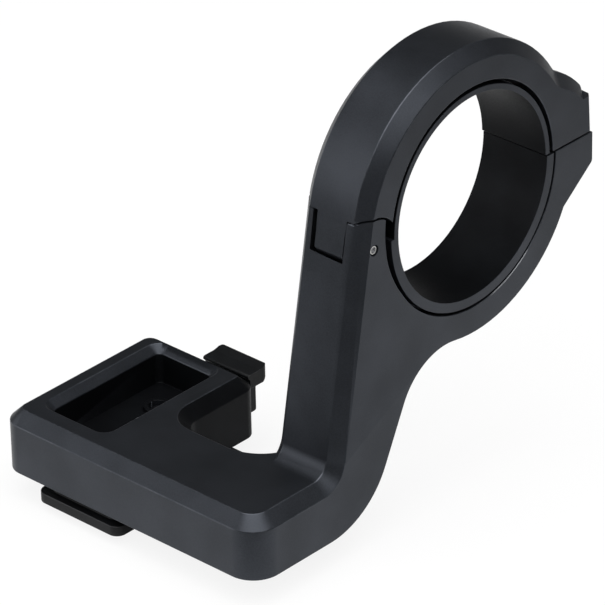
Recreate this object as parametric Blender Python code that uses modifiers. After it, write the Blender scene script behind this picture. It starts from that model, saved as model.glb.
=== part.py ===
"""Under-stem light mount: a hinged bar clamp on a leaning arm, with a tray and a slide rail for the light.

The origin is the middle of the clamp bore. +X runs along the handlebar, +Y to the rear, +Z up.
"""
import math

import bmesh
import bpy
from mathutils import Matrix, Vector

MM = 0.001

# Clearances between pieces that touch on the real mount
SEAT_GAP = 0.3 * MM
RUNNING_GAP = 0.3 * MM
PIN_GAP = 0.1 * MM
BOLT_SWING_GAP = 0.4 * MM

# Bar clamp, seen from the side: (y, z) from the middle of the bore
HALF_WIDTH = 6.0 * MM
EDGE_CHAMFER = 1.9 * MM
BAR_RADIUS = 15.9 * MM
UPPER_SHIM_WALL = 1.0 * MM
LOWER_SHIM_WALL = 1.65 * MM
SHIM_SPRING = 0.15 * MM
SHIM_SHOULDER_DEPTH = 0.15 * MM
SHIM_SHOULDER_LENGTH = 2.0 * MM
UPPER_RING_WALL = 5.9 * MM
LOWER_RING_WALL = 4.15 * MM
RING_CENTRE = (-0.35 * MM, -0.35 * MM)
SPLIT_GAP = 0.3 * MM

# Hinge at the front of the clamp
PIN_DEPTH = 2.55 * MM
PIN_Z = 0.0
PIN_RADIUS = 0.75 * MM
PIN_RECESS = 0.2 * MM
EAR_RADIUS = 4.5 * MM
TONGUE_RADIUS = 3.2 * MM
TONGUE_HEEL_RADIUS = 2.6 * MM
TONGUE_STEP = 245
TONGUE_ROOT_EASE = 0.1 * MM
TONGUE_GAP = 0.45 * MM
TONGUE_WIDTH = 5.2 * MM
TONGUE_OFFSET = 0.15 * MM
TONGUE_LEFT_GAP = 0.9 * MM
TONGUE_RIGHT_GAP = 0.15 * MM
MOUTH_RELIEF = (-0.8 * MM, 1.2 * MM)
HINGE_BLOCK_TOP = 7.0 * MM

# Bolt ears at the rear of the clamp
EAR_REACH = 2.9 * MM
EAR_TOP = 6.65 * MM
EAR_LEAN = math.radians(3)
EAR_CROWN_RADIUS = 18.0 * MM
EAR_CROWN_SLOPE = math.radians(50.5)
EAR_NOSE_RADIUS = 2.2 * MM
EAR_FILLET = 3.0 * MM
EAR_CORNER_CHAMFER = 0.6 * MM
LOWER_EAR_DEPTH = 4.9 * MM
LOWER_EAR_SLOPE = math.radians(38)
LOWER_EAR_ROUND = 0.8 * MM
BOLT_SETBACK = 4.4 * MM
BOLT_RADIUS = 1.5 * MM
BOLT_HEAD_RADIUS = 2.75 * MM
BOLT_HEAD_HEIGHT = 3.0 * MM
BOLT_HEX = 2.5 * MM
BOLT_SEAT = 4.3 * MM
BOLT_ENGAGEMENT = 5.0 * MM

# Arm and foot
ARM_FRONT_LEAN = math.radians(10.5)
ARM_REAR_LEAN = math.radians(26)
ARM_REAR_OFFSET = -1.66 * MM
ARM_REAR_FILLET = 10.0 * MM
HEEL_RADIUS = 13.0 * MM
FOOT_FILLET = 2.7 * MM

# Base block
BASE_TOP = -33.0 * MM
BASE_BOTTOM = -42.8 * MM
BASE_FRONT = -46.3 * MM
BASE_LEFT = -43.9 * MM
FRONT_CORNER_RADIUS = 4.5 * MM
SMALL_CORNER_RADIUS = 3.2 * MM

# Tray and the cut-out beside it
TRAY_REAR = -15.5 * MM
TRAY_WIDTH = 21.6 * MM
TRAY_CORNER_RADIUS = 2.2 * MM
CUTOUT_FRONT = -31.1 * MM
CUTOUT_TRAY_RADIUS = 3.0 * MM
CUTOUT_ARM_RADIUS = 6.0 * MM
POCKET_LEFT_WALL = 4.9 * MM
POCKET_RIGHT_WALL = 5.9 * MM
POCKET_FRONT_WALL = 5.5 * MM
POCKET_REAR_WALL = 3.1 * MM
POCKET_FLOOR = -39.0 * MM
POCKET_BEVEL = 1.2 * MM
POCKET_RADIUS = 1.0 * MM

# Slide rail under the tray
RAIL_CENTRE = -29.2 * MM
FLANGE_WIDTH = 16.3 * MM
FLANGE_THICKNESS = 1.6 * MM
FLANGE_CORNER = 1.6 * MM
FLANGE_DROP = 1.5 * MM
RAIL_FRONT_SETBACK = 0.1 * MM
RAIL_REAR_SETBACK = 3.5 * MM
NECK_WIDTH = 13.6 * MM
NECK_SETBACK = 1.4 * MM
NECK_TAPER = 2.2 * MM
SCREW_SPREAD = 9.0 * MM
SCREW_ROWS = (-37.4 * MM, -24.6 * MM)
SCREW_RADIUS = 1.0 * MM
SCREW_HEAD_RADIUS = 1.9 * MM
SCREW_HEAD_HEIGHT = 0.9 * MM
SCREW_HEX = 1.3 * MM
SCREW_BOSS_RADIUS = 2.1 * MM
SCREW_BOSS_HEIGHT = 0.7 * MM

# Release lever behind the tray, on a pin across the rail
LEVER_PIN_Y = -21.4 * MM
LEVER_PIN_RADIUS = 0.6 * MM
LEVER_PAD_WIDTH = 9.1 * MM
LEVER_PAD_OFFSET = 0.75 * MM
LEVER_SHANK_INSET = 0.8 * MM
LEVER_ARM_WIDTH = 3.2 * MM
LEVER_SHANK = 1.9 * MM
LEVER_SHANK_BOTTOM = -40.8 * MM
LEVER_PAD_TOP = -33.4 * MM
LEVER_PAD_REACH = 1.9 * MM
LEVER_PAD_EDGE = 1.8 * MM
LEVER_PAD_CORNER = 1.1 * MM
LEVER_PAD_DISH = 0.4 * MM
LEVER_EDGE_RADIUS = 0.35 * MM
LEVER_GAP = 0.4 * MM
LEVER_ARM_THICKNESS = 1.2 * MM
LEVER_HUB_RADIUS = 1.25 * MM
CATCH_REACH = 6.6 * MM
CATCH_DEPTH = 0.8 * MM
SPRING_OFFSET = 4.0 * MM
SPRING_RADIUS = 1.3 * MM
SPRING_WIRE = 0.22 * MM
SPRING_TURNS = 3.5
SPRING_BORE_DEPTH = 1.5 * MM

ROUND_STEPS = 96
SMALL_STEPS = 32
ARC_STEP = math.radians(4)

# Sizes that follow from the ones above
cap_bore = BAR_RADIUS + UPPER_SHIM_WALL + SEAT_GAP
bracket_bore = BAR_RADIUS + LOWER_SHIM_WALL + SEAT_GAP
ring_radius = cap_bore + UPPER_RING_WALL
lower_ring_radius = bracket_bore + LOWER_RING_WALL
pin_y = RING_CENTRE[0] - ring_radius + PIN_DEPTH
ear_end = ring_radius + EAR_REACH
bolt_y = ear_end - BOLT_SETBACK
tongue_left = TONGUE_OFFSET - TONGUE_WIDTH / 2
tongue_right = TONGUE_OFFSET + TONGUE_WIDTH / 2
slot_left = tongue_left - TONGUE_LEFT_GAP
slot_right = tongue_right + TONGUE_RIGHT_GAP
tray_right = BASE_LEFT + TRAY_WIDTH
flange_top = BASE_BOTTOM - FLANGE_DROP
flange_bottom = flange_top - FLANGE_THICKNESS
rail_top = BASE_BOTTOM - SEAT_GAP
rail_rear = TRAY_REAR - RAIL_REAR_SETBACK
lever_pin_z = (rail_top + flange_bottom) / 2
lever_slot = LEVER_ARM_WIDTH / 2 + RUNNING_GAP
spring_y = LEVER_PIN_Y - SPRING_OFFSET
pad_centre = RAIL_CENTRE + LEVER_PAD_OFFSET
lever_arm_top = lever_pin_z + LEVER_ARM_THICKNESS / 2
OVERRUN = 1.0 * MM


def clear_scene():
    for item in list(bpy.data.objects):
        bpy.data.objects.remove(item, do_unlink=True)


def collection(name):
    made = bpy.data.collections.new(name)
    bpy.context.scene.collection.children.link(made)
    return made


def material(name, colour, roughness, metallic):
    made = bpy.data.materials.new(name)
    made.use_nodes = True
    shader = made.node_tree.nodes["Principled BSDF"]
    shader.inputs["Base Color"].default_value = (*colour, 1.0)
    shader.inputs["Roughness"].default_value = roughness
    shader.inputs["Metallic"].default_value = metallic
    return made


clear_scene()
parts = collection("under_stem_light_mount")
cutters = collection("cutters")
black_anodised = material("black_anodised_aluminium", (0.035, 0.038, 0.044), 0.45, 0.6)
black_nylon = material("black_nylon", (0.012, 0.012, 0.014), 0.5, 0.0)
bright_steel = material("bright_steel", (0.62, 0.62, 0.6), 0.3, 1.0)
black_steel = material("black_oxide_steel", (0.03, 0.03, 0.032), 0.4, 0.8)


def place(mesh, name, finish=None):
    """Puts a mesh in the scene as a part, or as a hidden cutter where it has no finish."""
    item = bpy.data.objects.new(name, mesh)
    if finish:
        parts.objects.link(item)
        mesh.materials.append(finish)
        return item
    cutters.objects.link(item)
    item.hide_render = True
    item.display_type = "WIRE"
    return item


def from_bmesh(shape, name, finish=None):
    bmesh.ops.recalc_face_normals(shape, faces=shape.faces[:])
    mesh = bpy.data.meshes.new(name)
    shape.to_mesh(mesh)
    shape.free()
    return place(mesh, name, finish)


def arc(centre, radius, start, end):
    """Points along an arc in degrees, both ends included."""
    sweep = math.radians(end - start)
    steps = max(2, math.ceil(abs(sweep) / ARC_STEP))
    angles = [math.radians(start) + sweep * i / steps for i in range(steps + 1)]
    return [(centre[0] + radius * math.cos(a), centre[1] + radius * math.sin(a)) for a in angles]


def rounded(corners):
    """Outline through corners given as (u, v, radius), each corner eased by its own radius."""
    points = []
    for i, (u, v, radius) in enumerate(corners):
        corner = Vector((u, v))
        if radius == 0:
            points.append((u, v))
            continue
        before = (Vector(corners[i - 1][:2]) - corner).normalized()
        after = (Vector(corners[(i + 1) % len(corners)][:2]) - corner).normalized()
        half = before.angle(after) / 2
        centre = corner + (before + after).normalized() * radius / math.sin(half)
        first = corner + before * radius / math.tan(half)
        last = corner + after * radius / math.tan(half)
        start = math.degrees(math.atan2(first.y - centre.y, first.x - centre.x))
        end = math.degrees(math.atan2(last.y - centre.y, last.x - centre.x))
        turn = (end - start + 180) % 360 - 180
        points += arc(centre, radius, start, start + turn)
    return points


def prism(outline, low, high, axis):
    """Extrudes an outline along X, where it is (y, z), or along Z, where it is (x, y)."""
    outline = [p for i, p in enumerate(outline) if math.dist(p, outline[i - 1]) > 0.001 * MM]
    shape = bmesh.new()
    if axis == "X":
        verts = [shape.verts.new((low, a, b)) for a, b in outline]
        step = Vector((high - low, 0, 0))
    else:
        verts = [shape.verts.new((a, b, low)) for a, b in outline]
        step = Vector((0, 0, high - low))
    face = shape.faces.new(verts)
    grown = bmesh.ops.extrude_face_region(shape, geom=[face])["geom"]
    moved = [item for item in grown if isinstance(item, bmesh.types.BMVert)]
    bmesh.ops.translate(shape, verts=moved, vec=step)
    bmesh.ops.recalc_face_normals(shape, faces=shape.faces[:])
    return shape


def chamfer(shape, chosen, width):
    """Cuts a flat chamfer along every edge whose middle and direction the chooser takes."""
    edges = [edge for edge in shape.edges if chosen(*[vert.co for vert in edge.verts])]
    bmesh.ops.bevel(shape, geom=edges, offset=width, offset_type="OFFSET", segments=1, profile=0.5,
                    affect="EDGES", clamp_overlap=False, material=-1)


def cylinder(name, radius, low, high, axis, centre, finish=None, steps=SMALL_STEPS):
    """Round bar along X or Z; centre gives its other two coordinates in order."""
    shape = bmesh.new()
    bmesh.ops.create_cone(shape, cap_ends=True, segments=steps, radius1=radius, radius2=radius, depth=high - low)
    middle = (low + high) / 2
    if axis == "X":
        turn = Matrix.Translation((middle, *centre)) @ Matrix.Rotation(math.pi / 2, 4, "Y")
    else:
        turn = Matrix.Translation((*centre, middle))
    bmesh.ops.transform(shape, matrix=turn, verts=shape.verts[:])
    return from_bmesh(shape, name, finish)


def box(name, low, high):
    shape = bmesh.new()
    bmesh.ops.create_cube(shape, size=1)
    size = [b - a for a, b in zip(low, high)]
    middle = [(a + b) / 2 for a, b in zip(low, high)]
    bmesh.ops.scale(shape, vec=size, verts=shape.verts[:])
    bmesh.ops.translate(shape, vec=middle, verts=shape.verts[:])
    return from_bmesh(shape, name)


def frustum(name, lower, low, upper, high):
    """Solid between two like convex outlines in (x, y) at two heights."""
    shape = bmesh.new()
    for outline, level in ((lower, low), (upper, high)):
        for x, y in outline:
            shape.verts.new((x, y, level))
    made = bmesh.ops.convex_hull(shape, input=shape.verts[:])
    bmesh.ops.delete(shape, geom=made["geom_interior"], context="VERTS")
    return from_bmesh(shape, name)


def turned(name, profile, finish=None, steps=SMALL_STEPS):
    """Turns a profile of (radius, height), from the top of the axis down its outer side, about Z."""
    mesh = bpy.data.meshes.new(name)
    mesh.from_pydata([(r, 0, h) for r, h in profile], [(i, i + 1) for i in range(len(profile) - 1)], [])
    item = place(mesh, name, finish)
    screw = item.modifiers.new("turn", "SCREW")
    screw.axis = "Z"
    screw.steps = steps
    screw.render_steps = steps
    screw.use_merge_vertices = True
    screw.merge_threshold = 0.00001
    return item


def combine(item, other, operation="DIFFERENCE"):
    step = item.modifiers.new(f"{operation.lower()}_{other.name}", "BOOLEAN")
    step.operation = operation
    step.solver = "EXACT"
    step.object = other


def shade_round(item, angle=30):
    item.data.shade_smooth()
    item.data.set_sharp_from_angle(angle=math.radians(angle))


def front_line(z):
    """Y of the arm's leaning front face, which leaves the ring at a tangent."""
    tangent_y = RING_CENTRE[0] - ring_radius * math.cos(ARM_FRONT_LEAN)
    tangent_z = RING_CENTRE[1] + ring_radius * math.sin(ARM_FRONT_LEAN)
    return tangent_y - (tangent_z - z) * math.tan(ARM_FRONT_LEAN)


def foot_end():
    """Y of the arm block's front end, buried in the base slab."""
    return front_line(BASE_TOP) - 2 * FOOT_FILLET


def front_meets_circle(radius, side):
    """Angle in degrees, about the hinge pin, where the front face crosses a circle round the pin."""
    offset = front_line(PIN_Z) - pin_y
    slope = math.tan(ARM_FRONT_LEAN)
    a = 1 + slope * slope
    b = 2 * offset * slope
    c = offset * offset - radius * radius
    z = (-b + side * math.sqrt(b * b - 4 * a * c)) / (2 * a)
    return math.degrees(math.atan2(z, offset + slope * z)) % 360


def arm_outline():
    """Side outline of the bracket: lower ear, lower ring half, arm, heel and foot."""
    split = -SPLIT_GAP / 2
    slope = math.tan(LOWER_EAR_SLOPE)
    # Where the sloping underside of the lower ear runs into the ring
    ear_line = -LOWER_EAR_DEPTH - ear_end * slope
    a = 1 + slope * slope
    b = 2 * ear_line * slope
    c = ear_line ** 2 - lower_ring_radius ** 2
    ear_y = (-b + math.sqrt(b * b - 4 * a * c)) / (2 * a)
    ear_z = ear_line + slope * ear_y
    ear = rounded([(ear_end, split, 0), (ear_end, -LOWER_EAR_DEPTH, LOWER_EAR_ROUND), (ear_y, ear_z, 0)])
    # Fillet between the ring and the rear of the arm
    reach = lower_ring_radius + ARM_REAR_FILLET
    across = (ARM_REAR_OFFSET + ARM_REAR_FILLET) / reach
    fillet_angle = -math.degrees(math.acos(across)) - math.degrees(ARM_REAR_LEAN)
    fillet = (reach * math.cos(math.radians(fillet_angle)), reach * math.sin(math.radians(fillet_angle)))
    points = ear[:-1]
    points += arc((0, 0), lower_ring_radius, math.degrees(math.atan2(ear_z, ear_y)), fillet_angle)
    points += arc(fillet, ARM_REAR_FILLET, fillet_angle + 180, 180 - math.degrees(ARM_REAR_LEAN))
    points += arc(heel_centre(), HEEL_RADIUS, -math.degrees(ARM_REAR_LEAN), -90)
    front_end = foot_end()
    top_corner = (front_line(BASE_TOP), BASE_TOP, FOOT_FILLET)
    points += rounded([(front_end, BASE_BOTTOM, 0), (front_end, BASE_TOP, 0), top_corner,
                       (front_line(HINGE_BLOCK_TOP), HINGE_BLOCK_TOP, 0)])
    points += [(-BAR_RADIUS, HINGE_BLOCK_TOP), (-BAR_RADIUS, split)]
    return points


def ear_trim_outline():
    """Everything above the round hinge ears, as a cutter's outline."""
    round_top = arc((pin_y, PIN_Z), EAR_RADIUS, 150, 30)
    top = HINGE_BLOCK_TOP + OVERRUN
    front = BASE_FRONT
    return round_top + [(0, round_top[-1][1]), (0, top), (front, top), (front, round_top[0][1])]


def heel_centre():
    z = BASE_BOTTOM + HEEL_RADIUS
    inner = ARM_REAR_OFFSET - HEEL_RADIUS
    return ((inner + z * math.sin(ARM_REAR_LEAN)) / math.cos(ARM_REAR_LEAN), z)


def base_outline():
    """Plan outline of the base: front bar, cut-out and tray."""
    inside = HALF_WIDTH / 3
    hidden_end = foot_end() + OVERRUN
    return rounded([
        (BASE_LEFT, BASE_FRONT, SMALL_CORNER_RADIUS), (HALF_WIDTH, BASE_FRONT, FRONT_CORNER_RADIUS),
        (HALF_WIDTH, hidden_end, 0), (-inside, hidden_end, 0),
        (-inside, CUTOUT_FRONT + CUTOUT_ARM_RADIUS + OVERRUN, 0),
        (-HALF_WIDTH, CUTOUT_FRONT + CUTOUT_ARM_RADIUS + OVERRUN, 0),
        (-HALF_WIDTH, CUTOUT_FRONT, CUTOUT_ARM_RADIUS), (tray_right, CUTOUT_FRONT, CUTOUT_TRAY_RADIUS),
        (tray_right, TRAY_REAR, TRAY_CORNER_RADIUS), (BASE_LEFT, TRAY_REAR, SMALL_CORNER_RADIUS)])


def pocket_outline(grow):
    radius = POCKET_RADIUS + grow
    left = BASE_LEFT + POCKET_LEFT_WALL - grow
    right = tray_right - POCKET_RIGHT_WALL + grow
    front = BASE_FRONT + POCKET_FRONT_WALL - grow
    rear = TRAY_REAR - POCKET_REAR_WALL + grow
    return rounded([(left, front, radius), (right, front, radius), (right, rear, radius), (left, rear, radius)])


def screw_places():
    half = SCREW_SPREAD / 2
    return [(side, row, RAIL_CENTRE + sign * half, y)
            for side, sign in (("left", -1), ("right", 1))
            for row, y in zip(("front", "rear"), SCREW_ROWS)]


def build_bracket():
    """Arm, lower ring half and base, milled from one block."""
    shape = prism(arm_outline(), -HALF_WIDTH, HALF_WIDTH, "X")
    tiny = 0.01 * MM

    def along_front(a, b):
        on_face = abs(abs(a.x) - HALF_WIDTH) < tiny and abs(a.x - b.x) < tiny
        low_front = all(p.z > BASE_TOP - tiny and p.y < front_line(p.z) + tiny for p in (a, b))
        fillet = all(p.y < front_line(BASE_TOP) + FOOT_FILLET and p.z < BASE_TOP + FOOT_FILLET
                     and p.z > BASE_TOP - tiny for p in (a, b))
        return on_face and (low_front or fillet)

    chamfer(shape, along_front, EDGE_CHAMFER)
    frame = from_bmesh(shape, "bracket_frame", black_anodised)

    slab = prism(base_outline(), BASE_BOTTOM, BASE_TOP, "Z")
    hidden_end = foot_end() + OVERRUN

    def top_edge(a, b):
        level = abs(a.z - BASE_TOP) < tiny and abs(b.z - BASE_TOP) < tiny
        inside_arm = min(a.x, b.x) > -HALF_WIDTH - tiny and min(a.y, b.y) > hidden_end - tiny
        on_cutout = abs(a.x + HALF_WIDTH) < tiny and abs(b.x + HALF_WIDTH) < tiny
        return level and (not inside_arm or on_cutout)

    chamfer(slab, top_edge, EDGE_CHAMFER)
    combine(frame, from_bmesh(slab, "base_slab"), "UNION")

    # The heel's round underside, carried on under the fillet beside the cut-out
    heel = arc(heel_centre(), HEEL_RADIUS, -90, -math.degrees(ARM_REAR_LEAN))
    rear = heel[-1][0] + HEEL_RADIUS
    low = BASE_BOTTOM - OVERRUN
    heel += [(rear, heel[-1][1]), (rear, low), (heel[0][0], low)]
    inside = -HALF_WIDTH - CUTOUT_ARM_RADIUS - OVERRUN
    combine(frame, from_bmesh(prism(heel, inside, HALF_WIDTH + OVERRUN, "X"), "heel_cut"))

    reach = HALF_WIDTH + OVERRUN
    combine(frame, from_bmesh(prism(ear_trim_outline(), -reach, reach, "X"), "ear_trim"))
    combine(frame, cylinder("bracket_bore", bracket_bore, -HALF_WIDTH - OVERRUN, HALF_WIDTH + OVERRUN, "X", (0, 0),
                            steps=ROUND_STEPS))

    # The bore opens out a little towards the hinge, so that the sleeve can be pushed in
    combine(frame, cylinder("mouth_relief", bracket_bore, -HALF_WIDTH - OVERRUN, HALF_WIDTH + OVERRUN, "X",
                            MOUTH_RELIEF, steps=ROUND_STEPS))

    # Room between the hinge ears for the cap's tongue
    shelf = TONGUE_RADIUS + TONGUE_GAP
    combine(frame, cylinder("hinge_shelf", shelf, slot_left, slot_right, "X", (pin_y, PIN_Z), steps=64))
    slot_reach = EAR_RADIUS + OVERRUN
    combine(frame, box("hinge_slot", (slot_left, pin_y - slot_reach, PIN_Z),
                       (slot_right, pin_y + slot_reach, slot_reach)))
    combine(frame, cylinder("hinge_pin_hole", PIN_RADIUS + PIN_GAP, -HALF_WIDTH - OVERRUN, HALF_WIDTH + OVERRUN,
                            "X", (pin_y, PIN_Z)))
    combine(frame, cylinder("bolt_thread_hole", BOLT_RADIUS + BOLT_SWING_GAP, -BOLT_ENGAGEMENT - OVERRUN, OVERRUN, "Z",
                            (0, bolt_y)))

    # Pocket in the tray, with a bevelled rim and a boss round each left screw
    rim = POCKET_BEVEL + OVERRUN
    combine(frame, from_bmesh(prism(pocket_outline(0), POCKET_FLOOR, BASE_TOP + OVERRUN, "Z"), "pocket"))
    combine(frame, frustum("pocket_rim", pocket_outline(0), BASE_TOP - POCKET_BEVEL, pocket_outline(rim),
                           BASE_TOP + OVERRUN))
    boss_top = POCKET_FLOOR + SCREW_BOSS_HEIGHT
    for side, row, x, y in screw_places():
        if side == "left":
            combine(frame, cylinder(f"boss_{row}", SCREW_BOSS_RADIUS, POCKET_FLOOR - OVERRUN, boss_top, "Z", (x, y)),
                    "UNION")
    for side, row, x, y in screw_places():
        high = boss_top + OVERRUN if side == "left" else boss_top
        combine(frame, cylinder(f"screw_hole_{side}_{row}", SCREW_RADIUS + SEAT_GAP, BASE_BOTTOM - OVERRUN, high, "Z",
                                (x, y)))
    combine(frame, cylinder("spring_bore", SPRING_RADIUS + SPRING_WIRE + SEAT_GAP, BASE_BOTTOM - OVERRUN,
                            BASE_BOTTOM + SPRING_BORE_DEPTH, "Z", (RAIL_CENTRE, spring_y)))
    shade_round(frame)
    return frame


def circles_meet(centre_a, radius_a, centre_b, radius_b):
    """The upper point where two circles in the side plane cross."""
    way = Vector(centre_b) - Vector(centre_a)
    gap = way.length
    along = (radius_a ** 2 - radius_b ** 2 + gap ** 2) / (2 * gap)
    aside = math.sqrt(radius_a ** 2 - along ** 2)
    way.normalize()
    return Vector(centre_a) + way * along + Vector((-way.y, way.x)) * aside


def ear_rear(z):
    """Y of the cap ear's rear face, which leans towards the ring."""
    return ear_end - (z - SPLIT_GAP / 2) * math.tan(EAR_LEAN)


def degrees_to(centre, point):
    return math.degrees(math.atan2(point[1] - centre[1], point[0] - centre[0]))


def cap_outline():
    """Side outline of the hinged cap: bolt ear with a sloping crown, upper ring half and hinge side."""
    split = SPLIT_GAP / 2
    crown = (ear_rear(EAR_TOP) - EAR_CROWN_RADIUS * math.sin(EAR_CROWN_SLOPE),
             EAR_TOP - EAR_CROWN_RADIUS * math.cos(EAR_CROWN_SLOPE))
    fillet = circles_meet(RING_CENTRE, ring_radius + EAR_FILLET, crown, EAR_CROWN_RADIUS + EAR_FILLET)
    # The nose touches the rear face from inside, and the crown at the same time
    out = Vector((math.cos(EAR_LEAN), math.sin(EAR_LEAN)))
    up = Vector((-out.y, out.x))
    start = Vector((ear_end, split)) - out * EAR_NOSE_RADIUS - Vector(crown)
    lift = start.dot(up)
    climb = math.sqrt(lift ** 2 - start.length_squared + (EAR_CROWN_RADIUS - EAR_NOSE_RADIUS) ** 2) - lift
    nose = Vector(crown) + start + up * climb
    points = [(ear_end, split)]
    points += arc(nose, EAR_NOSE_RADIUS, math.degrees(EAR_LEAN), degrees_to(crown, nose))
    points += arc(crown, EAR_CROWN_RADIUS, degrees_to(crown, nose), degrees_to(crown, fillet))
    points += arc(fillet, EAR_FILLET, degrees_to(fillet, crown), degrees_to(fillet, RING_CENTRE))
    points += arc(RING_CENTRE, ring_radius, degrees_to(RING_CENTRE, fillet),
                  180 - math.degrees(math.asin((split - RING_CENTRE[1]) / ring_radius)))
    return points


def tongue_outline():
    """The cap's hinge tongue, flush with the arm's front, its heel smaller so that it swings past the shim."""
    top_angle = math.radians(180 - math.degrees(ARM_FRONT_LEAN))
    top = (RING_CENTRE[0] + ring_radius * math.cos(top_angle), RING_CENTRE[1] + ring_radius * math.sin(top_angle))
    pin = (pin_y, PIN_Z)
    nose = arc(pin, TONGUE_RADIUS, front_meets_circle(TONGUE_RADIUS, -1), TONGUE_STEP)
    heel = arc(pin, TONGUE_HEEL_RADIUS, TONGUE_STEP, 360)
    return [top] + nose + heel + [(pin_y + TONGUE_HEEL_RADIUS, top[1])]


def build_cap():
    """Upper half of the clamp, which swings on the hinge pin."""
    shape = prism(cap_outline(), -HALF_WIDTH, HALF_WIDTH, "X")
    tiny = 0.01 * MM

    def along_top(a, b):
        on_face = abs(abs(a.x) - HALF_WIDTH) < tiny and abs(a.x - b.x) < tiny
        upright = all(abs(p.y - ear_rear(p.z)) < tiny for p in (a, b))
        flat = abs(a.z - SPLIT_GAP / 2) < tiny and abs(b.z - SPLIT_GAP / 2) < tiny
        return on_face and not upright and not flat

    chamfer(shape, along_top, EDGE_CHAMFER)
    cap = from_bmesh(shape, "clamp_cap", black_anodised)
    cap.location = (0, pin_y, PIN_Z)
    cap.data.transform(Matrix.Translation((0, -pin_y, -PIN_Z)))

    reach = HALF_WIDTH + OVERRUN
    combine(cap, from_bmesh(prism(tongue_outline(), tongue_left, tongue_right, "X"), "tongue"), "UNION")
    combine(cap, cylinder("cap_bore", cap_bore, -reach, reach, "X", (0, 0), steps=ROUND_STEPS))
    lower_shim = prism(arc((0, 0), bracket_bore, 180, 360), -reach, reach, "X")
    combine(cap, from_bmesh(lower_shim, "shim_room"))
    for side, low, high in (("left", -reach, tongue_left - TONGUE_ROOT_EASE),
                            ("right", tongue_right + TONGUE_ROOT_EASE, reach)):
        combine(cap, cylinder(f"shoulder_{side}", EAR_RADIUS + RUNNING_GAP, low, high, "X", (pin_y, PIN_Z), steps=64))
    combine(cap, cylinder("tongue_pin_hole", PIN_RADIUS + PIN_GAP, -reach, reach, "X", (pin_y, PIN_Z)))
    combine(cap, cylinder("bolt_clearance", BOLT_RADIUS + SEAT_GAP, -OVERRUN, EAR_TOP, "Z", (0, bolt_y)))
    combine(cap, cylinder("bolt_counterbore", BOLT_HEAD_RADIUS + SEAT_GAP, BOLT_SEAT - SEAT_GAP, ring_radius, "Z",
                          (0, bolt_y)))
    side = EAR_REACH
    away = EAR_CORNER_CHAMFER / 2 - side / math.sqrt(2)
    for sign in (-1, 1):
        corner = box(f"ear_corner_{sign + 1}", (-side, -side, -OVERRUN), (side, side, EAR_TOP + OVERRUN))
        lean = Matrix.Translation((0, ear_end, 0)) @ Matrix.Rotation(EAR_LEAN, 4, "X")
        corner.matrix_world = lean @ Matrix.Translation((sign * (HALF_WIDTH - away), -away, 0)) @ Matrix.Rotation(
            math.pi / 4, 4, "Z")
        combine(cap, corner)
    shade_round(cap)
    return cap


def shim_half(name, centre_y, inner, wall, upper, finish=None):
    """Half sleeve along X, turned thinner at both ends."""
    outer = inner + wall
    shoulder = outer - SHIM_SHOULDER_DEPTH
    inner_end = HALF_WIDTH - SHIM_SHOULDER_LENGTH
    solid = turned(name, [(0, HALF_WIDTH), (shoulder, HALF_WIDTH), (shoulder, inner_end), (outer, inner_end),
                          (outer, -inner_end), (shoulder, -inner_end), (shoulder, -HALF_WIDTH), (0, -HALF_WIDTH)],
                   finish, ROUND_STEPS)
    solid.rotation_euler.y = math.pi / 2
    solid.location.y = centre_y
    reach = outer + OVERRUN
    ends = HALF_WIDTH + OVERRUN
    combine(solid, cylinder(f"{name}_inside", inner, -ends, ends, "X", (centre_y, 0), steps=ROUND_STEPS))
    low, high = (-reach, 0) if upper else (0, reach)
    combine(solid, box(f"{name}_split", (-ends, -2 * reach, low), (ends, 2 * reach, high)))
    return solid


def build_shim():
    """One springy sleeve that brings the bore down to the bar, slit at the bolt, its upper end sprung inwards."""
    upper_wall = UPPER_SHIM_WALL
    shim = shim_half("bar_shim", 0, BAR_RADIUS, LOWER_SHIM_WALL, False, black_anodised)
    top = shim_half("shim_top", -SHIM_SPRING, BAR_RADIUS - SHIM_SPRING, upper_wall, True)
    combine(shim, top, "UNION")
    ends = HALF_WIDTH + OVERRUN
    slit = SPLIT_GAP / 2
    combine(shim, box("shim_slit", (-ends, 0, -slit), (ends, bracket_bore + OVERRUN, slit)))
    shade_round(shim)
    return shim


def build_hinge_pin():
    end = HALF_WIDTH - PIN_RECESS
    ease = 0.15 * MM
    pin = turned("hinge_pin", [(0, end), (PIN_RADIUS - ease, end), (PIN_RADIUS, end - ease),
                               (PIN_RADIUS, ease - end), (PIN_RADIUS - ease, -end), (0, -end)], bright_steel)
    pin.location = (0, pin_y, PIN_Z)
    pin.rotation_euler.y = math.pi / 2
    return pin


def hex_cutter(name, across_flats, low, high, centre):
    return cylinder(name, across_flats / math.sqrt(3), low, high, "Z", centre, steps=6)


def build_clamp_bolt():
    top = BOLT_SEAT + BOLT_HEAD_HEIGHT
    ease = 0.3 * MM
    tip = -BOLT_ENGAGEMENT
    bolt = turned("clamp_bolt", [(0, top), (BOLT_HEAD_RADIUS - ease, top), (BOLT_HEAD_RADIUS, top - ease),
                                 (BOLT_HEAD_RADIUS, BOLT_SEAT), (BOLT_RADIUS, BOLT_SEAT), (BOLT_RADIUS, tip + ease),
                                 (BOLT_RADIUS - ease, tip), (0, tip)], black_steel)
    bolt.location = (0, bolt_y, 0)
    combine(bolt, hex_cutter("bolt_socket", BOLT_HEX, top - BOLT_HEAD_HEIGHT / 2, top + OVERRUN, (0, bolt_y)))
    return bolt


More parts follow.
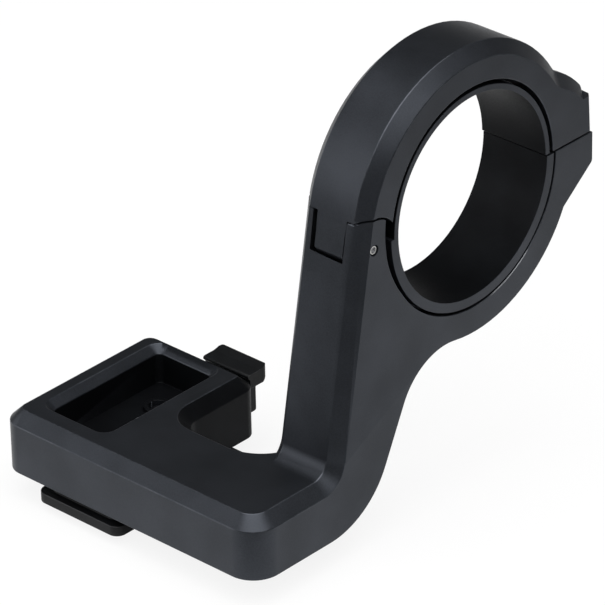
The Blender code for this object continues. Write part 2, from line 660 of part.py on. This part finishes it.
def build_rail():
    """Slide rail: a flange on a narrower neck, moulded, with a slot for the release lever."""
    half = FLANGE_WIDTH / 2
    front = BASE_FRONT + RAIL_FRONT_SETBACK
    flange = [(RAIL_CENTRE - half, front, FLANGE_CORNER), (RAIL_CENTRE + half, front, FLANGE_CORNER),
              (RAIL_CENTRE + half, rail_rear, 0), (RAIL_CENTRE - half, rail_rear, 0)]
    rail = from_bmesh(prism(rounded(flange), flange_bottom, flange_top, "Z"), "slide_rail", black_nylon)
    half = NECK_WIDTH / 2
    neck_front = front + NECK_SETBACK
    neck = [(RAIL_CENTRE - half, neck_front, FLANGE_CORNER), (RAIL_CENTRE + half, neck_front, FLANGE_CORNER),
            (RAIL_CENTRE + half, rail_rear - NECK_TAPER, 0), (RAIL_CENTRE + half - NECK_TAPER, rail_rear, 0),
            (RAIL_CENTRE - half + NECK_TAPER, rail_rear, 0), (RAIL_CENTRE - half, rail_rear - NECK_TAPER, 0)]
    neck_low = flange_top - FLANGE_THICKNESS / 2
    combine(rail, from_bmesh(prism(rounded(neck), neck_low, rail_top, "Z"), "rail_neck"), "UNION")
    slot_front = LEVER_PIN_Y - CATCH_REACH - RUNNING_GAP
    combine(rail, box("lever_slot", (RAIL_CENTRE - lever_slot, slot_front, flange_bottom - OVERRUN),
                      (RAIL_CENTRE + lever_slot, rail_rear + OVERRUN, rail_top + OVERRUN)))
    combine(rail, cylinder("lever_pin_hole", LEVER_PIN_RADIUS + SEAT_GAP, RAIL_CENTRE - half - OVERRUN,
                           RAIL_CENTRE + half + OVERRUN, "X", (LEVER_PIN_Y, lever_pin_z)))
    for side, row, x, y in screw_places():
        combine(rail, cylinder(f"rail_hole_{side}_{row}", SCREW_RADIUS + SEAT_GAP, flange_bottom - OVERRUN,
                               rail_top + OVERRUN, "Z", (x, y)))
        sink = turned(f"sink_{side}_{row}", countersunk_head(SEAT_GAP, OVERRUN))
        sink.location = (x, y, flange_bottom)
        combine(rail, sink)
    shade_round(rail)
    return rail


def countersunk_head(grow, below):
    """Profile of a countersunk head whose flat is at height 0 and faces down."""
    slope = (SCREW_HEAD_RADIUS - SCREW_RADIUS) / SCREW_HEAD_HEIGHT
    wide = SCREW_HEAD_RADIUS + grow
    return [(0, SCREW_HEAD_HEIGHT + grow), (SCREW_RADIUS + grow, SCREW_HEAD_HEIGHT + grow),
            (wide, SCREW_HEAD_HEIGHT + grow - (wide - SCREW_RADIUS - grow) / slope), (wide, -below), (0, -below)]


def build_screws():
    """Four countersunk screws, driven up through the rail into the base."""
    tip = POCKET_FLOOR + SCREW_BOSS_HEIGHT - 2 * SEAT_GAP
    for side, row, x, y in screw_places():
        name = f"rail_screw_{side}_{row}"
        ease = 0.2 * MM
        profile = [(0, tip - flange_bottom), (SCREW_RADIUS - ease, tip - flange_bottom),
                   (SCREW_RADIUS, tip - flange_bottom - ease), (SCREW_RADIUS, SCREW_HEAD_HEIGHT),
                   (SCREW_HEAD_RADIUS, 0.05 * MM), (SCREW_HEAD_RADIUS, 0), (0, 0)]
        screw = turned(name, profile, black_steel, 24)
        screw.location = (x, y, flange_bottom)
        combine(screw, hex_cutter(f"{name}_socket", SCREW_HEX, flange_bottom - OVERRUN,
                                  flange_bottom + SCREW_HEAD_HEIGHT * 0.8, (x, y)))


def build_lever():
    """Release lever: pad and shank behind the tray, hub on its pin, arm and catch under the tray."""
    front = TRAY_REAR + LEVER_GAP
    rear = front + LEVER_SHANK
    tip = rear + LEVER_PAD_REACH
    half = LEVER_PAD_WIDTH / 2
    edge_low = LEVER_PAD_TOP - LEVER_PAD_EDGE
    soft = LEVER_EDGE_RADIUS
    # The pad's lip lies over the tray's rear chamfer and runs parallel to it
    lip = TRAY_REAR + BASE_TOP - EDGE_CHAMFER + LEVER_GAP * math.sqrt(2)
    lip_top = LEVER_PAD_TOP - LEVER_PAD_DISH
    pad = rounded([(front, LEVER_SHANK_BOTTOM, soft), (rear, LEVER_SHANK_BOTTOM, soft),
                   (rear, edge_low - 0.8 * LEVER_PAD_REACH, 2 * soft), (tip, edge_low, soft),
                   (tip, LEVER_PAD_TOP, soft), (rear, lip_top, 5 * soft), (lip - lip_top, lip_top, soft),
                   (front, lip - front, 0)])
    lever = from_bmesh(prism(pad, pad_centre - half, pad_centre + half, "X"), "release_lever", black_nylon)
    lever.location = (RAIL_CENTRE, LEVER_PIN_Y, lever_pin_z)
    lever.data.transform(Matrix.Translation((-RAIL_CENTRE, -LEVER_PIN_Y, -lever_pin_z)))
    corner = LEVER_PAD_CORNER
    plan_front = lip - lip_top - OVERRUN
    plan = rounded([(pad_centre - half, plan_front, 0), (pad_centre + half, plan_front, 0),
                    (pad_centre + half, tip, corner), (pad_centre - half, tip, corner)])
    combine(lever, from_bmesh(prism(plan, LEVER_SHANK_BOTTOM - OVERRUN, BASE_TOP, "Z"), "pad_plan"), "INTERSECT")
    shank_right = pad_centre + half - LEVER_SHANK_INSET
    combine(lever, box("shank_side", (shank_right, front - OVERRUN, LEVER_SHANK_BOTTOM - OVERRUN),
                       (shank_right + 2 * LEVER_SHANK_INSET, tip + OVERRUN, edge_low - LEVER_PAD_REACH / 2)))
    arm_low = lever_pin_z - LEVER_ARM_THICKNESS / 2
    end = LEVER_PIN_Y - CATCH_REACH
    catch_low = flange_bottom - CATCH_DEPTH
    arm = rounded([(end, catch_low, 0.2 * MM), (end + 0.6 * MM, catch_low, 0.2 * MM),
                   (end + 2.2 * MM, arm_low, 0), (rear, arm_low, 1.0 * MM), (rear, LEVER_SHANK_BOTTOM + OVERRUN, 0),
                   (front, LEVER_SHANK_BOTTOM + OVERRUN, 0), (front, lever_arm_top, 0.5 * MM), (end, lever_arm_top, 0.3 * MM)])
    width = LEVER_ARM_WIDTH / 2
    combine(lever, from_bmesh(prism(arm, RAIL_CENTRE - width, RAIL_CENTRE + width, "X"), "lever_arm"), "UNION")
    combine(lever, cylinder("lever_hub", LEVER_HUB_RADIUS, RAIL_CENTRE - width, RAIL_CENTRE + width, "X",
                            (LEVER_PIN_Y, lever_pin_z)), "UNION")
    combine(lever, cylinder("lever_hub_hole", LEVER_PIN_RADIUS + RUNNING_GAP, RAIL_CENTRE - half, RAIL_CENTRE + half,
                            "X", (LEVER_PIN_Y, lever_pin_z)))
    shade_round(lever)
    return lever


def build_lever_pin():
    end = NECK_WIDTH / 2 - PIN_RECESS
    pin = turned("lever_pin", [(0, end), (LEVER_PIN_RADIUS, end), (LEVER_PIN_RADIUS, -end), (0, -end)], bright_steel,
                 24)
    pin.location = (RAIL_CENTRE, LEVER_PIN_Y, lever_pin_z)
    pin.rotation_euler.y = math.pi / 2
    return pin


def build_spring():
    """Small coil spring that presses the catch down, seated in the underside of the base."""
    curve = bpy.data.curves.new("lever_spring", "CURVE")
    curve.dimensions = "3D"
    low = lever_arm_top + SEAT_GAP + SPRING_WIRE
    high = BASE_BOTTOM + SPRING_BORE_DEPTH - SEAT_GAP - SPRING_WIRE
    count = int(SPRING_TURNS * 14)
    spline = curve.splines.new("POLY")
    spline.points.add(count)
    for i, point in enumerate(spline.points):
        angle = 2 * math.pi * SPRING_TURNS * i / count
        point.co = (RAIL_CENTRE + SPRING_RADIUS * math.cos(angle), spring_y + SPRING_RADIUS * math.sin(angle),
                    low + (high - low) * i / count, 1)
    curve.bevel_depth = SPRING_WIRE
    curve.bevel_resolution = 2
    curve.use_fill_caps = True
    curve.materials.append(bright_steel)
    parts.objects.link(bpy.data.objects.new("lever_spring", curve))


build_bracket()
build_cap()
build_shim()
build_hinge_pin()
build_clamp_bolt()
build_rail()
build_screws()
build_lever()
build_lever_pin()
build_spring()
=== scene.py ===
import math

import bmesh
import bpy
from mathutils import Matrix, Vector


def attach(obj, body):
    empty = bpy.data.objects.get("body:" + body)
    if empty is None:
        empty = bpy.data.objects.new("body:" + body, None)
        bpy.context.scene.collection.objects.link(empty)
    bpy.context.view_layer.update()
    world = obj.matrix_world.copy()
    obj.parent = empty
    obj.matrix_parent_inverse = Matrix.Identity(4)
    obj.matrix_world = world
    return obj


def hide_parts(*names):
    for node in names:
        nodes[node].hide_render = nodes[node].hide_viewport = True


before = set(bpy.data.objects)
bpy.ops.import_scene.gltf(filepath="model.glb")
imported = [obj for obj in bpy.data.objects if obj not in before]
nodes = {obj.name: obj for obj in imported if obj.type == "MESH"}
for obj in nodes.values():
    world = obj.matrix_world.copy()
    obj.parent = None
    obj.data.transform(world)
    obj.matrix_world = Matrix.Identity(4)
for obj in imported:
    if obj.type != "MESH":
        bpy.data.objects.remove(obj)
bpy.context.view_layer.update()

mm = 0.001
weldWithin = 0.002 * mm  # points of a CAD node closer than this are one
flatWithin = 0.6         # degrees between faces that count as one flat face
splitAbove = 38          # degrees between faces that are shaded apart
roomNeeded = 2.2         # widths of a rounding that both faces of its edge must have
shortestEdge = 1.3       # widths of a rounding below which an edge stops the roundings at its ends
touchWithin = 1e-7       # metres below which an edge counts as touching another


def hexColour(code):  # sRGB hex to the linear value that the shaders take
    channels = [int(code[i:i + 2], 16) / 255 for i in (1, 3, 5)]
    return [c / 12.92 if c <= 0.04045 else ((c + 0.055) / 1.055) ** 2.4 for c in channels] + [1.0]


def addNode(tree, kind, settings=None, inputs=None):  # inputs are plain values, or sockets to link from
    node = tree.nodes.new(kind)
    for name, value in (settings or {}).items():
        setattr(node, name, value)
    for name, value in (inputs or {}).items():
        if isinstance(value, bpy.types.NodeSocket):
            tree.links.new(value, node.inputs[name])
        else:
            node.inputs[name].default_value = value
    return node


def newMaterial(name, metallic):
    made = bpy.data.materials.new(name)
    made.use_nodes = True
    tree = made.node_tree
    shader = tree.nodes["Principled BSDF"]
    shader.inputs["Metallic"].default_value = metallic
    return made, tree, shader


bareMetal = "#8f9195"    # where the coat is rubbed off
roughSpread = 0.06       # how far the grain moves the roughness up and down
grainHeight = 0.02 * mm  # how deep the grain is

# The parts of each noise's range that are used, and how a worn spot ends, in shares of its radius
noise = {"cloudFrom": 0.4, "cloudTo": 0.6, "grainFrom": 0.35, "grainTo": 0.65, "roughFrom": 0.3,
         "roughTo": 0.7, "ragged": 0.8, "wornFrom": 1.5, "wornTo": 1.2}


def grainyFinish(name, look):  # a coat or skin with a fine even grain over broad faint clouds, sizes in mm
    made, tree, shader = newMaterial(name, look["metallic"])
    shader.inputs["Specular IOR Level"].default_value = look.get("specular", 0.5)
    place = addNode(tree, "ShaderNodeTexCoord").outputs["Object"]
    grain = addNode(tree, "ShaderNodeTexNoise", None,
                    {"Vector": place, "Scale": 1 / (look["grain"] * mm), "Detail": 3.0, "Roughness": 0.6})
    cloud = addNode(tree, "ShaderNodeTexNoise", None,
                    {"Vector": place, "Scale": 1 / (look["cloud"] * mm), "Detail": 2.0, "Roughness": 0.5})
    both = addNode(tree, "ShaderNodeMath", {"operation": "MULTIPLY_ADD"},
                   {0: grain.outputs["Fac"], 1: look["grainShare"], 2: cloud.outputs["Fac"]})
    spread = addNode(tree, "ShaderNodeMapRange", None,
                     {"Value": both.outputs[0],
                      "From Min": noise["cloudFrom"] + look["grainShare"] * noise["grainFrom"],
                      "From Max": noise["cloudTo"] + look["grainShare"] * noise["grainTo"]})
    dye = addNode(tree, "ShaderNodeMix", {"data_type": "RGBA"},
                  {0: spread.outputs[0], 6: hexColour(look["dark"]), 7: hexColour(look["light"])})
    coat = dye.outputs[2]
    for centre, radius in look.get("wornAndGlintSpots", []):  # rubbed through to bare metal, with a ragged outline; the rim nick's spot is also a painted glint
        off = addNode(tree, "ShaderNodeVectorMath", {"operation": "DISTANCE"},
                      {0: place, 1: [c * mm for c in centre]})
        ragged = addNode(tree, "ShaderNodeMath", {"operation": "MULTIPLY_ADD"},
                         {0: cloud.outputs["Fac"], 1: radius * noise["ragged"] * mm, 2: off.outputs["Value"]})
        inside = addNode(tree, "ShaderNodeMapRange", None,
                         {"Value": ragged.outputs[0], "From Min": radius * noise["wornFrom"] * mm,
                          "From Max": radius * noise["wornTo"] * mm})
        coat = addNode(tree, "ShaderNodeMix", {"data_type": "RGBA"},
                       {0: inside.outputs[0], 6: coat, 7: hexColour(bareMetal)}).outputs[2]
    tree.links.new(coat, shader.inputs["Base Color"])
    rough = addNode(tree, "ShaderNodeMapRange", None,
                    {"Value": grain.outputs["Fac"], "From Min": noise["roughFrom"],
                     "From Max": noise["roughTo"], "To Min": look["roughness"] - roughSpread,
                     "To Max": look["roughness"] + roughSpread})
    tree.links.new(rough.outputs[0], shader.inputs["Roughness"])
    bump = addNode(tree, "ShaderNodeBump", None,
                   {"Height": grain.outputs["Fac"], "Strength": look["bump"], "Distance": grainHeight})
    tree.links.new(bump.outputs[0], shader.inputs["Normal"])
    return made


# Worn spots, as middle and radius in mm: a nick in the pocket's rim, whose bare metal also stands as a
# painted glint, and the rubbed edge below the bore
rimNickGlint = ((-27.3, -35.5, -33.0), 0.4)
boreEdgeRub = ((6, 8.0, -16.3), 4.5)

# Black anodising on bead-blasted aluminium: a dull grey sheen. The real grain of about 0.1 mm is too fine to
# show, so it is drawn at 0.2 to 0.3 mm here and in the coats below
anodised = grainyFinish("blackAnodisedAluminium", {
    "metallic": 0.85, "dark": "#34373c", "light": "#3f4248", "roughness": 0.42,
    "grain": 0.22, "cloud": 9.0, "grainShare": 0.8, "bump": 0.35, "wornAndGlintSpots": [rimNickGlint]})

# The same coat where handling has polished the edges: a smoother and paler thin line
anodisedEdge = grainyFinish("polishedAnodisedEdge", {
    "metallic": 0.85, "dark": "#3c3f45", "light": "#4e5157", "roughness": 0.36,
    "grain": 0.3, "cloud": 3.0, "grainShare": 0.6, "bump": 0.2, "wornAndGlintSpots": [rimNickGlint, boreEdgeRub]})

# Painted shade: the same coat made flat and nearly black in the pocket, the bore and the cut-out walls, where
# shade falls
paintedShade = grainyFinish("paintedShadeAnodising", {
    "metallic": 0.6, "dark": "#0d0e11", "light": "#141619", "roughness": 0.5,
    "grain": 0.25, "cloud": 6.0, "grainShare": 0.6, "bump": 0.25, "specular": 0.2})

# Glass-filled nylon, moulded: flat black with a faint pebbled skin
nylon = grainyFinish("mouldedBlackNylon", {
    "metallic": 0.0, "dark": "#0b0c0e", "light": "#111315", "roughness": 0.48,
    "grain": 0.3, "cloud": 4.0, "grainShare": 0.7, "bump": 0.3, "specular": 0.22})

# The same nylon rubbed smooth along its edges: slightly greyer
nylonEdge = grainyFinish("rubbedNylonEdge", {
    "metallic": 0.0, "dark": "#191a1d", "light": "#232427", "roughness": 0.42,
    "grain": 0.3, "cloud": 3.0, "grainShare": 0.7, "bump": 0.2})

# Ground stainless steel, for the lever's pin and spring: bright with fine pits
steel = grainyFinish("groundStainlessSteel", {
    "metallic": 1.0, "dark": "#8d8c88", "light": "#d9d8d2", "roughness": 0.26,
    "grain": 0.16, "cloud": 0.7, "grainShare": 0.9, "bump": 0.5})

# The hinge pin's cut end: a rolled bright rim round a grey pitted middle, by the distance from its axis
pinLook = {"axis": (0.0, -20.9, 0.0), "middle": "#77777a", "pits": "#1c1c1e", "rim": "#dcdcd8", "rimAt": 0.5,
           "rimBlur": 0.04, "pit": 0.19, "pitFrom": 0.42, "pitTo": 0.5, "metallic": 1.0, "roughness": 0.3}
pinSteel, tree, shader = newMaterial("cutPinSteel", pinLook["metallic"])
shader.inputs["Roughness"].default_value = pinLook["roughness"]
place = addNode(tree, "ShaderNodeTexCoord").outputs["Object"]
inMm = addNode(tree, "ShaderNodeVectorMath", {"operation": "SCALE"}, {0: place, "Scale": 1 / mm})
offAxis = addNode(tree, "ShaderNodeVectorMath", {"operation": "SUBTRACT"},
                  {0: inMm.outputs[0], 1: pinLook["axis"]})
flat = addNode(tree, "ShaderNodeVectorMath", {"operation": "MULTIPLY"}, {0: offAxis.outputs[0], 1: (0, 1, 1)})
radius = addNode(tree, "ShaderNodeVectorMath", {"operation": "LENGTH"}, {0: flat.outputs[0]})
onRim = addNode(tree, "ShaderNodeMapRange", None,
                {"Value": radius.outputs["Value"], "From Min": pinLook["rimAt"] - pinLook["rimBlur"],
                 "From Max": pinLook["rimAt"] + pinLook["rimBlur"]})
pitting = addNode(tree, "ShaderNodeTexNoise", None,
                  {"Vector": inMm.outputs[0], "Scale": 1 / pinLook["pit"], "Detail": 2.0, "Roughness": 0.5})
pitted = addNode(tree, "ShaderNodeMapRange", None,
                 {"Value": pitting.outputs["Fac"], "From Min": pinLook["pitFrom"],
                  "From Max": pinLook["pitTo"]})
core = addNode(tree, "ShaderNodeMix", {"data_type": "RGBA"},
               {0: pitted.outputs[0], 6: hexColour(pinLook["pits"]), 7: hexColour(pinLook["middle"])})
face = addNode(tree, "ShaderNodeMix", {"data_type": "RGBA"},
               {0: onRim.outputs[0], 6: core.outputs[2], 7: hexColour(pinLook["rim"])})
tree.links.new(face.outputs[2], shader.inputs["Base Color"])

# Black-oxide steel, for the bolt and the rail screws: dark with a thin oily sheen
oxide = grainyFinish("blackOxideSteel", {
    "metallic": 0.85, "dark": "#26272a", "light": "#34353a", "roughness": 0.33,
    "grain": 0.2, "cloud": 1.5, "grainShare": 0.6, "bump": 0.25})
print("materials made")


def mergedCopy(nodeName):  # a CAD node's triangles as a clean solid with whole flat faces
    shape = bmesh.new()
    shape.from_mesh(nodes[nodeName].data)
    bmesh.ops.remove_doubles(shape, verts=shape.verts, dist=weldWithin)
    bmesh.ops.dissolve_degenerate(shape, dist=weldWithin, edges=shape.edges)
    bmesh.ops.dissolve_limit(shape, angle_limit=math.radians(flatWithin), verts=shape.verts,
                             edges=shape.edges)
    return shape


def insideBox(spot, box):  # spot and the box's low and high corners in mm
    return all(low <= at <= high for low, at, high in zip(box[0], spot, box[1]))


def roomAcross(corner):  # how far a face reaches inwards from the middle of the edge after this corner
    begin, end = corner.vert.co, corner.link_loop_next.vert.co
    middle, along = (begin + end) / 2, (end - begin).normalized()
    inward = corner.face.normal.cross(along)
    reach = 1.0  # a metre, more than any face here has
    for other in corner.face.edges:
        near, far = (v.co - middle for v in other.verts)
        if other != corner.edge and near.dot(along) * far.dot(along) <= 0:
            gap = near.dot(along) - far.dot(along)
            share = near.dot(along) / gap if gap else 0
            depth = near.dot(inward) * (1 - share) + far.dot(inward) * share
            if touchWithin < depth < reach:
                reach = depth
    return reach


def easeEdges(shape, look):  # rounds the sharp edges that have room for it, in the piece's second material
    width = look["width"] * mm
    chosen = set()
    for edge in shape.edges:
        spot = (edge.verts[0].co + edge.verts[1].co) / 2 / mm
        kept = any(insideBox(spot, box) for box in look["leftSharp"])
        sharp = edge.calc_face_angle(0) > math.radians(look["sharperThan"])
        if sharp and not kept and min(roomAcross(corner) for corner in edge.link_loops) > roomNeeded * width:
            chosen.add(edge)
    for point in shape.verts:
        if any(e not in chosen and e.calc_length() < shortestEdge * width for e in point.link_edges):
            chosen.difference_update(point.link_edges)
    made = bmesh.ops.bevel(shape, geom=list(chosen), offset=width, offset_type="OFFSET", segments=2,
                           profile=0.5, affect="EDGES", clamp_overlap=False, material=-1)
    for face in made["faces"]:
        face.material_index = 1


def paintShadeInRecess(shape, within):  # gives the faces that the test picks, by middle and normal, the third material: the painted shade
    for face in shape.faces:
        if within(face.calc_center_median() / mm, face.normal):
            face.material_index = 2


def finishPiece(shape, name, stands, body, skins):  # skins are for faces, roundings and the painted shade in recesses
    bmesh.ops.recalc_face_normals(shape, faces=shape.faces)
    mesh = bpy.data.meshes.new(name)
    shape.to_mesh(mesh)
    shape.free()
    for skin in skins:
        mesh.materials.append(skin)
    mesh.shade_smooth()
    mesh.set_sharp_from_angle(angle=math.radians(splitAbove))
    piece = bpy.data.objects.new(name, mesh)
    bpy.context.scene.collection.objects.link(piece)
    even = piece.modifiers.new("evenShading", "WEIGHTED_NORMAL")
    even.keep_sharp = True
    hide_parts(*stands)
    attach(piece, body)


# Lower ring half, arm and base: the hinge's small steps and two tiny corners stay sharp
bracketLook = {"width": 0.12, "sharperThan": 22,
               "leftSharp": [((-7, -24, -1.5), (7, -17.5, 5.5)), ((-35.3, -36.2, -38.8), (-33.8, -35, -38)),
                             ((-22, -31.2, -43), (-20.8, -30, -42.3))],
               "pocket": ((-40.5, -41.5, -39.5), (-24.2, -17.2, -34.3)),
               "cutOutWall": ((-26, -32.5, -42.7), (-18.5, -15.5, -33.1)), "wallFacing": 0.3,
               "wallUpright": 0.9}
shape = mergedCopy("bracket_frame")
easeEdges(shape, bracketLook)
# Painted shade: the pocket's faces and the cut-out walls that face +X take the near-black third coat
paintShadeInRecess(shape, lambda at, normal: insideBox(at, bracketLook["pocket"]))
paintShadeInRecess(shape, lambda at, normal: insideBox(at, bracketLook["cutOutWall"])
             and normal.x > bracketLook["wallFacing"] and abs(normal.z) < bracketLook["wallUpright"])
finishPiece(shape, "bracketBody", ["bracket_frame"], "bracket",
            [anodised, anodisedEdge, paintedShade])

# Upper ring half, with its stepped hinge tongue and its bolt ear
capLook = {"width": 0.12, "sharperThan": 22, "leftSharp": []}
shape = mergedCopy("clamp_cap")
easeEdges(shape, capLook)
finishPiece(shape, "capBody", ["clamp_cap"], "cap", [anodised, anodisedEdge])
print("bracket and cap dressed")

# Bar sleeve: its thin shoulders leave room for a very small rounding only, and its inside gets painted shade
sleeveLook = {"width": 0.05, "sharperThan": 30, "leftSharp": [], "insideRadius": 17, "insideFacing": 0.2}
shape = mergedCopy("bar_shim")
easeEdges(shape, sleeveLook)
paintShadeInRecess(shape, lambda at, normal: math.hypot(at.y, at.z) < sleeveLook["insideRadius"]
             and abs(normal.x) < sleeveLook["insideFacing"])
finishPiece(shape, "barSleeve", ["bar_shim"], "bracket", [anodised, anodised, paintedShade])

# Rail and release lever: moulded, so rounded a little less than the milled metal
mouldedLook = {"width": 0.08, "sharperThan": 28, "leftSharp": []}
for nodeName, pieceName, body in (("slide_rail", "railBody", "bracket"),
                                  ("release_lever", "leverBody", "lever")):
    shape = mergedCopy(nodeName)
    easeEdges(shape, mouldedLook)
    finishPiece(shape, pieceName, [nodeName], body, [nylon, nylonEdge])

# Pins, spring, bolt and screws keep their CAD shapes
for nodeName, metal in (("hinge_pin", pinSteel), ("lever_pin", steel), ("lever_spring", steel)):
    nodes[nodeName].data.materials.clear()
    nodes[nodeName].data.materials.append(metal)
for nodeName in [n for n in nodes if n.startswith("rail_screw")] + ["clamp_bolt"]:
    nodes[nodeName].data.materials.clear()
    nodes[nodeName].data.materials.append(oxide)
print("small parts dressed")

# Studio: a pale paper floor close below the rail. Where the camera doesn't see it, it is dimmer away from its
# bright middle band and towards the camera, which is what the metal's dark faces mirror
studio = {"floorLevel": -0.0475, "floorSize": 6.0, "across": (0.729, 0.684, 0.0), "brightHalf": 0.075,
          "dimFrom": 0.185, "nearEdge": (0.684, -0.729, 0.0), "nearBright": 0.04, "nearDim": 0.07,
          "paper": "#fafafa", "paperAway": "#8a8a8a", "paperRoughness": 0.9, "glow": 1.06, "glowSeen": 0.86,
          "glowMirrored": 0.15, "horizon": 0.45, "horizonTo": 0.04, "overhead": 0.07, "overheadFrom": 0.25,
          "horizonNear": 0.3, "nearFrom": 0.5, "nearTo": 0.9}

floorShape = bmesh.new()
bmesh.ops.create_grid(floorShape, x_segments=1, y_segments=1, size=studio["floorSize"] / 2,
                      matrix=Matrix.Translation((0, 0, studio["floorLevel"])))
floorMesh = bpy.data.meshes.new("paperFloor")
floorShape.to_mesh(floorMesh)
floorShape.free()
floor = bpy.data.objects.new("paperFloor", floorMesh)
bpy.context.scene.collection.objects.link(floor)

paper, tree, shader = newMaterial("matPaper", 0.0)
shader.inputs["Roughness"].default_value = studio["paperRoughness"]
spot = addNode(tree, "ShaderNodeTexCoord").outputs["Object"]
offset = addNode(tree, "ShaderNodeVectorMath", {"operation": "DOT_PRODUCT"}, {0: spot, 1: studio["across"]})
away = addNode(tree, "ShaderNodeMath", {"operation": "ABSOLUTE"}, {0: offset.outputs["Value"]})
fade = addNode(tree, "ShaderNodeMapRange", {"interpolation_type": "SMOOTHSTEP"},
               {"Value": away.outputs[0], "From Min": studio["brightHalf"], "From Max": studio["dimFrom"]})
nearer = addNode(tree, "ShaderNodeVectorMath", {"operation": "DOT_PRODUCT"}, {0: spot, 1: studio["nearEdge"]})
nearFade = addNode(tree, "ShaderNodeMapRange", {"interpolation_type": "SMOOTHSTEP"},
                   {"Value": nearer.outputs["Value"], "From Min": studio["nearBright"],
                    "From Max": studio["nearDim"]})
either = addNode(tree, "ShaderNodeMath", {"operation": "MAXIMUM"},
                 {0: fade.outputs[0], 1: nearFade.outputs[0]})
rays = addNode(tree, "ShaderNodeLightPath")
unseen = addNode(tree, "ShaderNodeMath", {"operation": "SUBTRACT", "use_clamp": True},
                 {0: either.outputs[0], 1: rays.outputs["Is Camera Ray"]})
tone = addNode(tree, "ShaderNodeMix", {"data_type": "RGBA"},
               {0: unseen.outputs[0], 6: hexColour(studio["paper"]), 7: hexColour(studio["paperAway"])})
tree.links.new(tone.outputs[2], shader.inputs["Base Color"])
mirrored = addNode(tree, "ShaderNodeMath", {"operation": "MULTIPLY"},
                   {0: rays.outputs["Is Glossy Ray"], 1: studio["glowMirrored"]})
seen = addNode(tree, "ShaderNodeMath", {"operation": "MULTIPLY"},
               {0: rays.outputs["Is Camera Ray"], 1: studio["glowSeen"]})
share = addNode(tree, "ShaderNodeMath", {"operation": "MAXIMUM"},
                {0: seen.outputs[0], 1: mirrored.outputs[0]})
glow = addNode(tree, "ShaderNodeEmission", None, {"Color": tone.outputs[2], "Strength": studio["glow"]})
blend = addNode(tree, "ShaderNodeMixShader", None,
                {0: share.outputs[0], 1: shader.outputs[0], 2: glow.outputs[0]})
tree.links.new(blend.outputs[0], tree.nodes["Material Output"].inputs["Surface"])
floorMesh.materials.append(paper)

# World: a bright horizon behind the object, dark overhead and dimmer towards the camera
world = bpy.data.worlds.new("studioWorld")
bpy.context.scene.world = world
world.use_nodes = True
tree = world.node_tree
heading = addNode(tree, "ShaderNodeTexCoord").outputs["Generated"]
way = addNode(tree, "ShaderNodeSeparateXYZ", None, {"Vector": heading})
height = addNode(tree, "ShaderNodeMapRange", None,
                 {"Value": way.outputs["Z"], "From Min": studio["horizonTo"],
                  "From Max": studio["overheadFrom"], "To Min": studio["horizon"],
                  "To Max": studio["overhead"]})
facing = addNode(tree, "ShaderNodeVectorMath", {"operation": "DOT_PRODUCT"},
                 {0: heading, 1: studio["nearEdge"]})
nearDim = addNode(tree, "ShaderNodeMapRange", None,
                  {"Value": facing.outputs["Value"], "From Min": studio["nearFrom"],
                   "From Max": studio["nearTo"], "To Min": 1.0, "To Max": studio["horizonNear"]})
strength = addNode(tree, "ShaderNodeMath", {"operation": "MULTIPLY"},
                   {0: height.outputs[0], 1: nearDim.outputs[0]})
tree.links.new(strength.outputs[0], tree.nodes["Background"].inputs["Strength"])
tree.nodes["Background"].inputs["Color"].default_value = (1, 1, 1, 1)

# Lamps: a broad soft one overhead, one from the front left, and a faint one from the back right
lampsAimAt = (-0.015, -0.01, -0.01)
lamps = {"keyLamp": {"place": (0.24, -0.26, 1.02), "size": (1.5, 1.5), "power": 20},
         "leftLamp": {"place": (-0.78, -0.66, 0.30), "size": (0.9, 0.6), "power": 3.0},
         "rightLamp": {"place": (0.51, 0.66, 0.63), "size": (0.7, 0.6), "power": 0.3}}
for name, look in lamps.items():
    lamp = bpy.data.lights.new(name, "AREA")
    lamp.shape = "RECTANGLE"
    lamp.size, lamp.size_y = look["size"]
    lamp.energy = look["power"]
    holder = bpy.data.objects.new(name, lamp)
    holder.location = look["place"]
    holder.rotation_euler = (Vector(lampsAimAt) - Vector(look["place"])).to_track_quat("-Z", "Y").to_euler()
    bpy.context.scene.collection.objects.link(holder)

# Camera: the photograph's own, from a fit of the mount's edges
view = {"turn": 43.18, "tilt": 29.51, "roll": -1.26, "distance": 0.74748, "lens": 312.68, "sensor": 36,
        "aim": (-0.010, -0.010, -0.015), "across": -0.00585, "up": -0.00315, "nearest": 0.05, "farthest": 20}
turn, tilt, roll = (math.radians(view[k]) for k in ("turn", "tilt", "roll"))
back = Vector((math.sin(turn) * math.cos(tilt), -math.cos(turn) * math.cos(tilt), math.sin(tilt)))
right = Vector((math.cos(turn), math.sin(turn), 0))
up = back.cross(right)
eye = Vector(view["aim"]) + right * view["across"] + up * view["up"] + back * view["distance"]
rolledRight = right * math.cos(roll) + up * math.sin(roll)
rolledUp = up * math.cos(roll) - right * math.sin(roll)
camera = bpy.data.objects.new("photoCamera", bpy.data.cameras.new("photoCamera"))
camera.data.lens = view["lens"]
camera.data.sensor_width = view["sensor"]
camera.data.clip_start = view["nearest"]
camera.data.clip_end = view["farthest"]
axes = Matrix((rolledRight, rolledUp, back)).transposed().to_4x4()
camera.matrix_world = Matrix.Translation(eye) @ axes
bpy.context.scene.collection.objects.link(camera)
bpy.context.scene.camera = camera
bpy.context.scene.view_settings.view_transform = "Standard"
print("studio and camera set")
